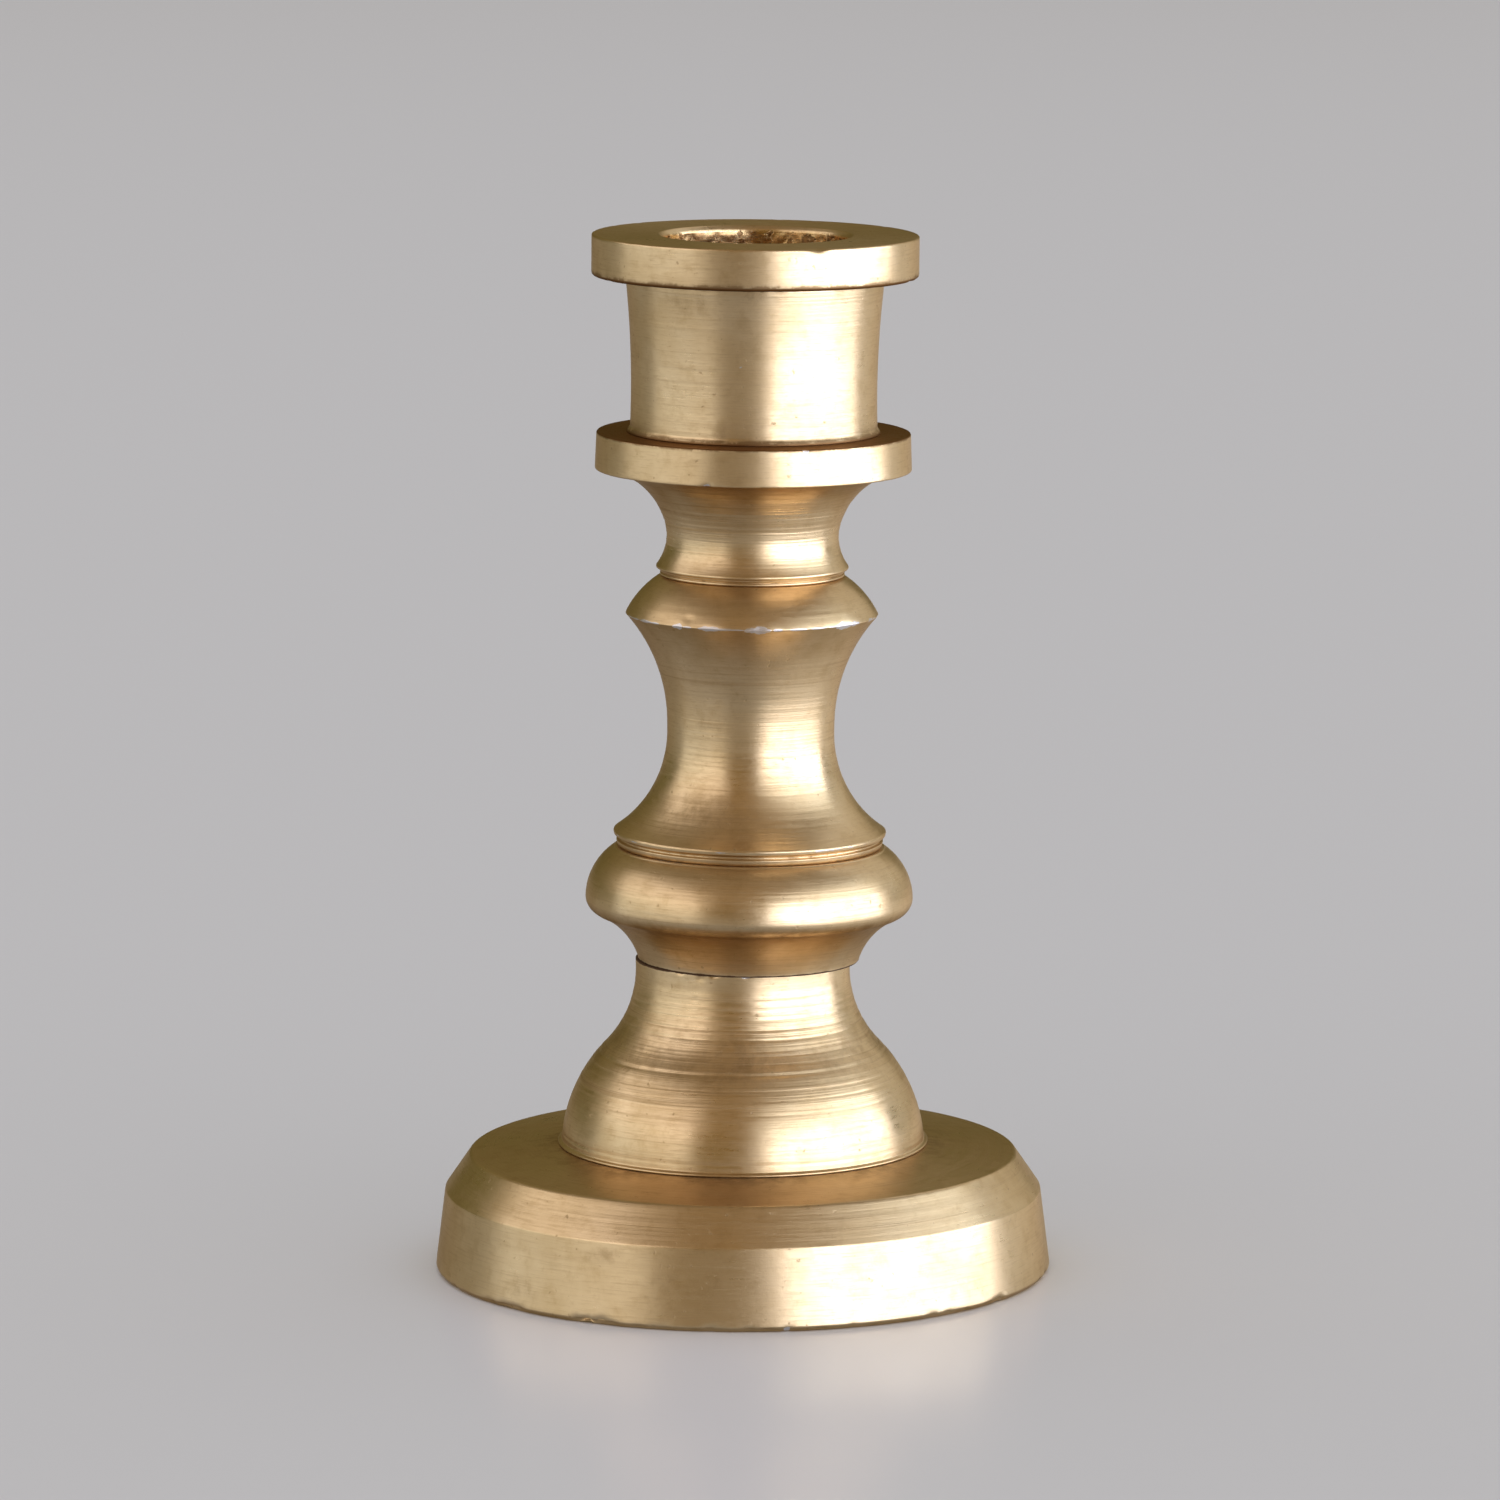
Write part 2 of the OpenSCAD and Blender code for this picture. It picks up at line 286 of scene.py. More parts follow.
def chips(seed, count, height, long_, deep, bare=0.0, spread=0.0, tall=0.25):
    """Small nicks at random places along an edge."""
    rng = np.random.default_rng(seed)
    return [(rng.uniform(0, 360), height + rng.uniform(-spread, spread), tall * rng.uniform(0.6, 1.4),
             long_ * rng.uniform(0.4, 1.5), deep * rng.uniform(0.3, 1.2), bare * rng.uniform(0, 1))
            for _ in range(count)]


def scratches(seed, low, high, count, deep, wide=0.14):
    """Turning lines at random heights, each clear on one side only."""
    rng = np.random.default_rng(seed)
    return [(rng.uniform(low, high), wide * rng.uniform(0.7, 1.6), deep * rng.uniform(0.3, 1.0),
             rng.uniform(0, 360), rng.uniform(30, 140)) for _ in range(count)]


def all_round(height, tall, long_, amount):
    """A stain that goes the whole way round, as eight patches; with an amount over 1 it is a dark even ring:
    painted shade under the rim and round the pan's top, and a dark joint at the cup's foot.
    """
    return [(k * 45, height, tall, long_, amount) for k in range(8)]


def edge_wear_and_highlight(z, deg, r):
    """Bare metal along the knop's sharp edge, a thin broken line, and along the edge of the skirt; the line is
    partly a painted highlight on those edges.
    """
    broken = (0.5 + 0.3 * np.sin(np.radians(deg) * 7 + 1.2) + 0.25 * np.sin(np.radians(deg) * 17 + 0.4)
              + 0.2 * np.sin(np.radians(deg) * 41))
    knop = bell(z - KNOP_EDGE - 0.01, 0.09) * bell(r - KNOP_R, 0.35)
    skirt = 0.62 * bell(z - COLLAR_TOP - 1.02, 0.07) * bell(r - SKIRT_R, 0.2)
    return np.clip(broken, 0, 1) * (knop + skirt)


def crinkle(r, z, angle, rng):
    """Coarse chatter left inside the socket by a rough drill."""
    wall = (np.clip((SOCKET_R + 0.05 - r) / 0.1, 0, 1) * np.clip((RIM_TOP - 0.25 - z) / 0.4, 0, 1)
            * (z > SOCKET_FLOOR - 0.1) * (r > 0.6))
    total = 0
    for _ in range(26):
        turns, climb = rng.integers(5, 42), rng.uniform(-6, 6)
        total = total + rng.uniform(0.3, 1) * np.sin(turns * angle + climb * z + rng.uniform(0, 6.28))
    return 0.022 * wall * np.clip(np.abs(total) - 1.2, 0, 3)


def socket_wall(r, z):
    """1 on the socket's wall and floor, 0 elsewhere."""
    return (np.clip((SOCKET_R + 0.08 - r) / 0.08, 0, 1) * np.clip((RIM_TOP - 0.2 - z) / 0.3, 0, 1)
            * (z > PAN_TOP + 1.4))


# ---- Turned pieces ----

def ring_mesh(name, coords, sectors, turning, fields):
    """A closed quad mesh of rings, the last joined to the first, with values at its points for the material."""
    rings = len(coords) // sectors
    i, j = np.meshgrid(np.arange(rings), np.arange(sectors), indexing="ij")
    i2, j2 = (i + 1) % rings, (j + 1) % sectors
    corners = [i * sectors + j, i * sectors + j2, i2 * sectors + j2, i2 * sectors + j]
    faces = np.stack(corners, -1).reshape(-1, 4)

    mesh = bpy.data.meshes.new(name)
    mesh.vertices.add(len(coords))
    mesh.vertices.foreach_set("co", coords.astype(np.float32).ravel())
    mesh.loops.add(faces.size)
    mesh.loops.foreach_set("vertex_index", faces.astype(np.int32).ravel())
    mesh.polygons.add(len(faces))
    mesh.polygons.foreach_set("loop_start", np.arange(0, faces.size, 4, dtype=np.int32))
    mesh.polygons.foreach_set("use_smooth", np.ones(len(faces), bool))
    mesh.update(calc_edges=True)
    layer = mesh.attributes.new("turning", "FLOAT_VECTOR", "POINT")
    layer.data.foreach_set("vector", turning.astype(np.float32).ravel())
    for label, values in fields.items():
        layer = mesh.attributes.new(label, "FLOAT", "POINT")
        layer.data.foreach_set("value", values.astype(np.float32).ravel())
    return mesh


def turned(name, outline, seed, marks, nicks=(), on_stem=False, hidden=inside, rough=None, wear_and_edge_highlight=None,
           grime_and_shade=(), grooves=(), stains_and_shade_rings=(), cast=None, step=STEP, sectors=SECTORS):
    """A closed solid of revolution with tool marks, dents and wear, and with painted shade and a painted edge
    highlight among the values it hands to the material. Lengths are in millimetres.

    marks: (height from, height to, depth) stretches where the turning lines are clear.
    grooves: (height, width, depth, middle in degrees, reach in degrees) lines that fade out round the piece.
    nicks: (angle in degrees, height, height of the mark, length round, depth, how bare its metal is) dents.
    stains: (angle in degrees, height, height of the patch, length round, amount) brown patches; an amount
    over 1 is darker and even: painted shade under the rim and round the pan's top, a dark joint at the cup's
    foot.
    grime: (height, height of the band, amount) dirt in a joint; the bands under the rim and on the pan's top are
    painted shade.
    """
    rng = np.random.default_rng(seed)
    points = spaced(outline, hidden, step)
    ahead, back = np.roll(points, -1, 0), np.roll(points, 1, 0)
    along = ahead - back
    along /= np.linalg.norm(along, axis=1)[:, None]
    out = np.stack([along[:, 1], -along[:, 0]], 1)
    steps = np.linalg.norm(points - back, axis=1)
    steps[0] = 0
    run = np.cumsum(steps)
    r, z = points[:, 0], points[:, 1]
    shape = (len(r), sectors)

    angle = np.linspace(0, 2 * np.pi, sectors, endpoint=False)
    fine = ring_noise(run[-1], rng, FINE_PITCH, 1)
    broad = ring_noise(run[-1], rng, BROAD_PITCH, 2)
    depth = np.full(len(r), CUT)
    for low, high, more in marks:
        depth += more * np.clip((z - low) / MARK_FADE, 0, 1) * np.clip((high - z) / MARK_FADE, 0, 1)
    shown = (r > ROD_HOLE_R + 0.2).astype(float)
    rings = depth * (0.7 * fine(run) + 0.7 * broad(run)) * shown
    sway = np.zeros(shape)
    for k in (1, 2, 3, 5):
        phase = rng.uniform(0, 2 * np.pi, 2)
        sway += 0.25 * np.cos(k * angle[None] + phase[0] + 0.6 * run[:, None] + phase[1])
    push = rings[:, None] * (1 + 0.5 * sway)
    outside = (out[:, 0] > -0.2) * shown
    for height, wide, deep, middle, reach in grooves:
        phase = rng.uniform(0, 2 * np.pi, 2)
        fade = np.clip(1.3 - np.abs(away(angle, middle)) / reach, 0, 1)
        fade *= 0.75 + 0.25 * np.sin(5 * angle + phase[0])
        drift = 0.04 * np.sin(angle + phase[1])
        push -= deep * bell(z[:, None] - height - drift[None], wide / 2) * outside[:, None] * fade[None]

    worn_and_highlit = np.zeros(shape)
    for degrees, height, tall, long_, deep, bare in nicks:
        arc = np.radians(away(angle, degrees))[None] * r[:, None]
        size = max(long_, 0.2)
        ragged = 1 + 0.25 * np.sin(arc * 9 / size + degrees) + 0.15 * np.sin(arc * 23 / size)
        rim = r[np.abs(z - height) < RIM_SEARCH].max()
        dent = (bell(arc, long_ / 2) * bell((z - height)[:, None], tall / 2 * ragged)
                * bell(r - rim, NICK_REACH)[:, None])
        push -= deep * dent
        worn_and_highlit = np.maximum(worn_and_highlit, bare * np.clip(dent * 1.6, 0, 1))
    # Bare metal at the nicks, and from the wear function a painted highlight along edges as well.
    if wear_and_edge_highlight is not None:
        worn_and_highlit = np.maximum(worn_and_highlit, wear_and_edge_highlight(z[:, None], np.degrees(angle)[None], r[:, None]))
    # Dirt in the joints, and painted shade under the rim and on the pan's top.
    dirt_and_shade_band = np.zeros(shape)
    for height, tall, amount in grime_and_shade:
        dirt_and_shade_band = np.maximum(dirt_and_shade_band, amount * bell((z - height)[:, None], tall) * np.ones((1, sectors)))
    # Brown stains; the dark even rings under the rim and round the pan's top are painted shade.
    stain_and_shade_amount = np.zeros(shape)
    for degrees, height, tall, long_, amount in stains_and_shade_rings:
        arc = np.radians(away(angle, degrees))[None] * r[:, None]
        stain_and_shade_amount = np.maximum(stain_and_shade_amount, amount * bell(arc, long_ / 2) * bell((z - height)[:, None], tall / 2))
    # Painted shade: faces that look downwards are darkened in the material.
    below = np.clip(-out[:, 1] - 0.1, 0, 0.7) / 0.7
    as_cast = np.zeros(shape) if cast is None else cast(r[:, None], z[:, None]) * np.ones((1, sectors))
    fields = {"wear_and_edge_highlight": worn_and_highlit, "grime_and_shade": dirt_and_shade_band, "painted_underside_shade": np.broadcast_to(below[:, None], shape), "stain_and_shade": stain_and_shade_amount,
              "scored": np.broadcast_to(np.clip(depth / 0.01, 0, 1)[:, None], shape), "cast": as_cast}
    if rough is not None:
        push = push + rough(r[:, None], z[:, None], angle[None], rng)

    rr = r[:, None] + out[:, 0:1] * push
    zz = z[:, None] + out[:, 1:2] * push
    x, y = rr * np.cos(angle), rr * np.sin(angle)
    if on_stem:
        lift = zz - SEAM
        x, zz = (x * math.cos(STEM_LEAN) + lift * math.sin(STEM_LEAN) + STEM_SHIFT,
                 SEAM + lift * math.cos(STEM_LEAN) - x * math.sin(STEM_LEAN))
    coords = np.stack([x, y, zz], -1).reshape(-1, 3) * MM
    turning = np.stack(np.broadcast_arrays(run[:, None], np.cos(angle)[None], np.sin(angle)[None]), -1)
    mesh = ring_mesh(name, coords, sectors, turning, fields)
    piece = bpy.data.objects.new("turned_" + name, mesh)
    bpy.context.scene.collection.objects.link(piece)
    return piece


# ---- Materials ----

class Nodes:
    """Short hand for building the node tree of a material or world from nothing."""

    def __init__(self, owner):
        owner.use_nodes = True
        self.tree = owner.node_tree
        self.tree.nodes.clear()

    def put(self, socket, value):
        if isinstance(value, bpy.types.NodeSocket):
            self.tree.links.new(value, socket)
        else:
            socket.default_value = value

    def add(self, kind, inputs=None, **settings):
        node = self.tree.nodes.new(kind)
        for key, value in settings.items():
            setattr(node, key, value)
        for key, value in (inputs or {}).items():
            self.put(node.inputs[key], value)
        return node

    def math(self, operation, a, b=0.0, clamp=False):
        return self.add("ShaderNodeMath", {0: a, 1: b}, operation=operation, use_clamp=clamp).outputs[0]

    def total(self, first, *parts, clamp=False):
        for i, part in enumerate(parts):
            first = self.math("ADD", first, part, clamp=clamp and i == len(parts) - 1)
        return first

    def times(self, a, b):
        return self.math("MULTIPLY", a, b)

    def attribute(self, name):
        return self.add("ShaderNodeAttribute", attribute_name=name, attribute_type="GEOMETRY")

    def noise(self, vector, scale, detail, rough):
        inputs = {"Vector": vector, "Scale": scale, "Detail": detail, "Roughness": rough}
        return self.add("ShaderNodeTexNoise", inputs).outputs["Fac"]

    def stretch(self, vector, factors):
        return self.add("ShaderNodeVectorMath", {0: vector, 1: factors}, operation="MULTIPLY").outputs[0]

    def span(self, value, low, high, to_low=0.0, to_high=1.0, smooth=True):
        inputs = {"Value": value, "From Min": low, "From Max": high, "To Min": to_low, "To Max": to_high}
        return self.add("ShaderNodeMapRange", inputs,
                        interpolation_type="SMOOTHSTEP" if smooth else "LINEAR").outputs[0]

    def mix(self, factor, a, b, blend="MIX"):
        return self.add("ShaderNodeMix", {0: factor, 6: a, 7: b}, data_type="RGBA", blend_type=blend).outputs[2]

    def bump(self, height, unit):
        """A normal from a height given in a unit in metres."""
        return self.add("ShaderNodeBump", {"Strength": 1.0, "Distance": unit, "Height": height}).outputs[0]


def colour(r, g, b):
    return (r, g, b, 1.0)


BRASS = colour(0.84, 0.675, 0.45)
BRASS_CLOUDED = colour(0.84 * 0.88, 0.675 * 0.85, 0.45 * 0.78)
BRASS_GRAZING = colour(0.74, 0.62, 0.52)
BRASS_ROUGHNESS = 0.315
TARNISH = colour(0.56, 0.40, 0.20)
TARNISH_DASH = colour(0.56, 0.41, 0.23)
TARNISH_BAND = colour(0.62, 0.46, 0.26)
GROOVE_DARK = colour(0.42, 0.28, 0.14)
GROOVE_BRIGHT = colour(0.95, 0.80, 0.58)
PIT = colour(0.36, 0.24, 0.12)
CAST_BRIGHT = colour(0.95, 0.72, 0.38)
CAST_DARK = colour(0.62, 0.38, 0.16)
CRACK = colour(0.20, 0.10, 0.04)
STAIN = colour(0.36, 0.25, 0.14)
# Painted shade: the dark even rings under the rim and round the pan's top; also the dark joint at the cup's foot.
DEEP_STAIN_AND_SHADE = colour(0.23, 0.12, 0.05)
# Painted shade: the tint that darkens the faces looking downwards.
SHADED = colour(0.66, 0.57, 0.46)
# Dirt in the joints, and painted shade under the rim and on the pan's top.
DIRT_AND_SHADE = colour(0.08, 0.044, 0.024)
# Bare metal at nicks and worn edges; along the knop's and skirt's edges it is partly a painted highlight.
BARE_METAL_AND_EDGE_HIGHLIGHT = colour(0.80, 0.79, 0.85)
ZINC_LIGHT = colour(0.56, 0.56, 0.57)
ZINC_DARK = colour(0.40, 0.40, 0.41)
MICROMETRE = 0.000001


def brass(name):
    """Satin turned brass: tool rings, cloudy tarnish, stains, dirt in the joints and bare metal on worn edges,
    with painted shade on undersides, under the rim and round the pan's top, and a painted highlight along the
    knop's and skirt's edges.
    """
    material = bpy.data.materials.new(name)
    n = Nodes(material)
    # turning holds millimetres along the outline, then the cosine and sine of the angle round the piece
    turning = n.attribute("turning").outputs["Vector"]
    wear_and_edge_highlight, grime_and_shade, painted_underside_shade, stain_and_shade, scored, cast = (
        n.attribute(label).outputs["Fac"] for label in ("wear_and_edge_highlight", "grime_and_shade", "painted_underside_shade", "stain_and_shade", "scored", "cast"))
    place = n.add("ShaderNodeTexCoord").outputs["Object"]

    # Rings round the piece, from fine to broad, and short dashes along them
    hair = n.noise(n.stretch(turning, (11.0, 0.6, 0.6)), 1.0, 2.0, 0.6)
    lines = n.noise(n.stretch(turning, (3.6, 0.4, 0.4)), 1.0, 3.0, 0.65)
    bands = n.noise(n.stretch(turning, (1.1, 0.3, 0.3)), 1.0, 2.0, 0.5)
    dashes = n.noise(n.stretch(turning, (8.0, 9.0, 9.0)), 1.0, 3.0, 0.6)
    # Patches in all directions, from broad to fine
    cloud = n.noise(place, 190.0, 5.0, 0.6)
    mottle = n.noise(place, 800.0, 5.0, 0.65)
    pits = n.noise(place, 2300.0, 1.5, 0.5)
    grain = n.noise(place, 9000.0, 2.0, 0.6)
    cell = n.add("ShaderNodeTexVoronoi", {"Vector": n.stretch(place, (1.0, 1.0, 0.7)), "Scale": 480.0},
                 feature="DISTANCE_TO_EDGE").outputs["Distance"]
    crack = n.times(cast, n.span(n.total(cell, n.span(mottle, 0.3, 0.7, -0.08, 0.12)), 0.0, 0.05, 0.8, 0.0))
    strong = n.span(scored, 0.1, 1.0, 0.06, 1.0, smooth=False)

    patch = n.math("MULTIPLY", stain_and_shade, n.span(mottle, 0.35, 0.65, 0.2, 1.5), clamp=True)
    patch = n.math("MAXIMUM", patch, n.span(stain_and_shade, 0.9, 1.8))
    shade = n.times(painted_underside_shade, n.span(cloud, 0.25, 0.7, 0.75, 1.0))
    ragged_dirt_and_shade = n.total(grime_and_shade, n.span(mottle, 0.3, 0.7, -0.25, 0.25, smooth=False))
    dirt_and_shade = n.times(n.span(ragged_dirt_and_shade, 0.3, 0.7), n.span(grime_and_shade, 0.02, 0.15))
    ragged_edge = n.total(wear_and_edge_highlight, n.span(mottle, 0.3, 0.7, -0.3, 0.3, smooth=False))

    tone = n.mix(n.span(cloud, 0.35, 0.7), BRASS, BRASS_CLOUDED)
    for amount, tint in (
        (n.span(mottle, 0.48, 0.72, 0.0, 0.36), TARNISH),
        (n.span(dashes, 0.5, 0.72, 0.0, 0.32), TARNISH_DASH),
        (n.times(n.span(lines, 0.52, 0.74, 0.0, 0.55), strong), GROOVE_DARK),
        (n.times(n.span(hair, 0.55, 0.75, 0.0, 0.4), strong), GROOVE_BRIGHT),
        (n.times(n.span(bands, 0.5, 0.75, 0.0, 0.25), strong), TARNISH_BAND),
        (n.span(pits, 0.70, 0.80, 0.0, 0.4), PIT),
        (n.times(cast, 0.8), n.mix(n.span(mottle, 0.35, 0.6), CAST_BRIGHT, CAST_DARK)),
        (crack, CRACK),
        # Stains; amounts over 1 paint shade under the rim and round the pan's top.
        (patch, n.mix(n.span(stain_and_shade, 1.0, 2.2), STAIN, DEEP_STAIN_AND_SHADE)),
    ):
        tone = n.mix(amount, tone, tint)
    # Painted shade: the faces that look downwards are darkened.
    tone = n.mix(shade, tone, n.mix(1.0, tone, SHADED, "MULTIPLY"))
    # Dirt in the joints, and painted shade under the rim and on the pan's top.
    tone = n.mix(dirt_and_shade, tone, DIRT_AND_SHADE)
    # Bare metal, partly a painted highlight along the knop's and skirt's edges.
    tone = n.mix(n.span(ragged_edge, 0.42, 0.55), tone, BARE_METAL_AND_EDGE_HIGHLIGHT)

    roughness = n.total(
        BRASS_ROUGHNESS,
        n.span(cloud, 0.3, 0.7, -0.03, 0.05),
        n.times(n.span(lines, 0.4, 0.75, -0.02, 0.14), strong),
        n.span(pits, 0.66, 0.78, 0.0, 0.15),
        n.span(dashes, 0.35, 0.7, -0.02, 0.05),
        n.times(cast, -0.08),
        n.times(patch, 0.15),
        n.times(dirt_and_shade, 0.35),
        clamp=True)

    # Heights in micrometres
    height = n.total(
        n.times(n.total(n.times(lines, 32.0), n.times(hair, 11.0)), strong),
        n.times(dashes, 4.0),
        n.times(grain, 1.5),
        n.times(mottle, 3.0),
        n.span(pits, 0.68, 0.80, 0.0, -6.0),
        n.times(crack, -22.0))

    tangent = n.add("ShaderNodeTangent", direction_type="RADIAL", axis="Z").outputs[0]
    shader = n.add("ShaderNodeBsdfPrincipled",
                   {"Base Color": tone, "Roughness": roughness, "Metallic": n.span(dirt_and_shade, 0.0, 1.0, 1.0, 0.25),
                    "Normal": n.bump(height, MICROMETRE), "Tangent": tangent, "Anisotropic": 0.34,
                    "Anisotropic Rotation": 0.25, "Specular Tint": BRASS_GRAZING})
    n.add("ShaderNodeOutputMaterial", {"Surface": shader.outputs[0]})
    return material


def steel(name):
    """Plain zinc-coated steel for the rod, washer and nut."""
    material = bpy.data.materials.new(name)
    n = Nodes(material)
    cloud = n.noise(n.add("ShaderNodeTexCoord").outputs["Object"], 600.0, 5.0, 0.6)
    shader = n.add("ShaderNodeBsdfPrincipled",
                   {"Base Color": n.mix(n.span(cloud, 0.35, 0.7), ZINC_LIGHT, ZINC_DARK),
                    "Roughness": n.span(cloud, 0.3, 0.7, 0.3, 0.5), "Metallic": 1.0,
                    "Normal": n.bump(cloud, 10 * MICROMETRE)})
    n.add("ShaderNodeOutputMaterial", {"Surface": shader.outputs[0]})
    return material


# ---- The candlestick ----

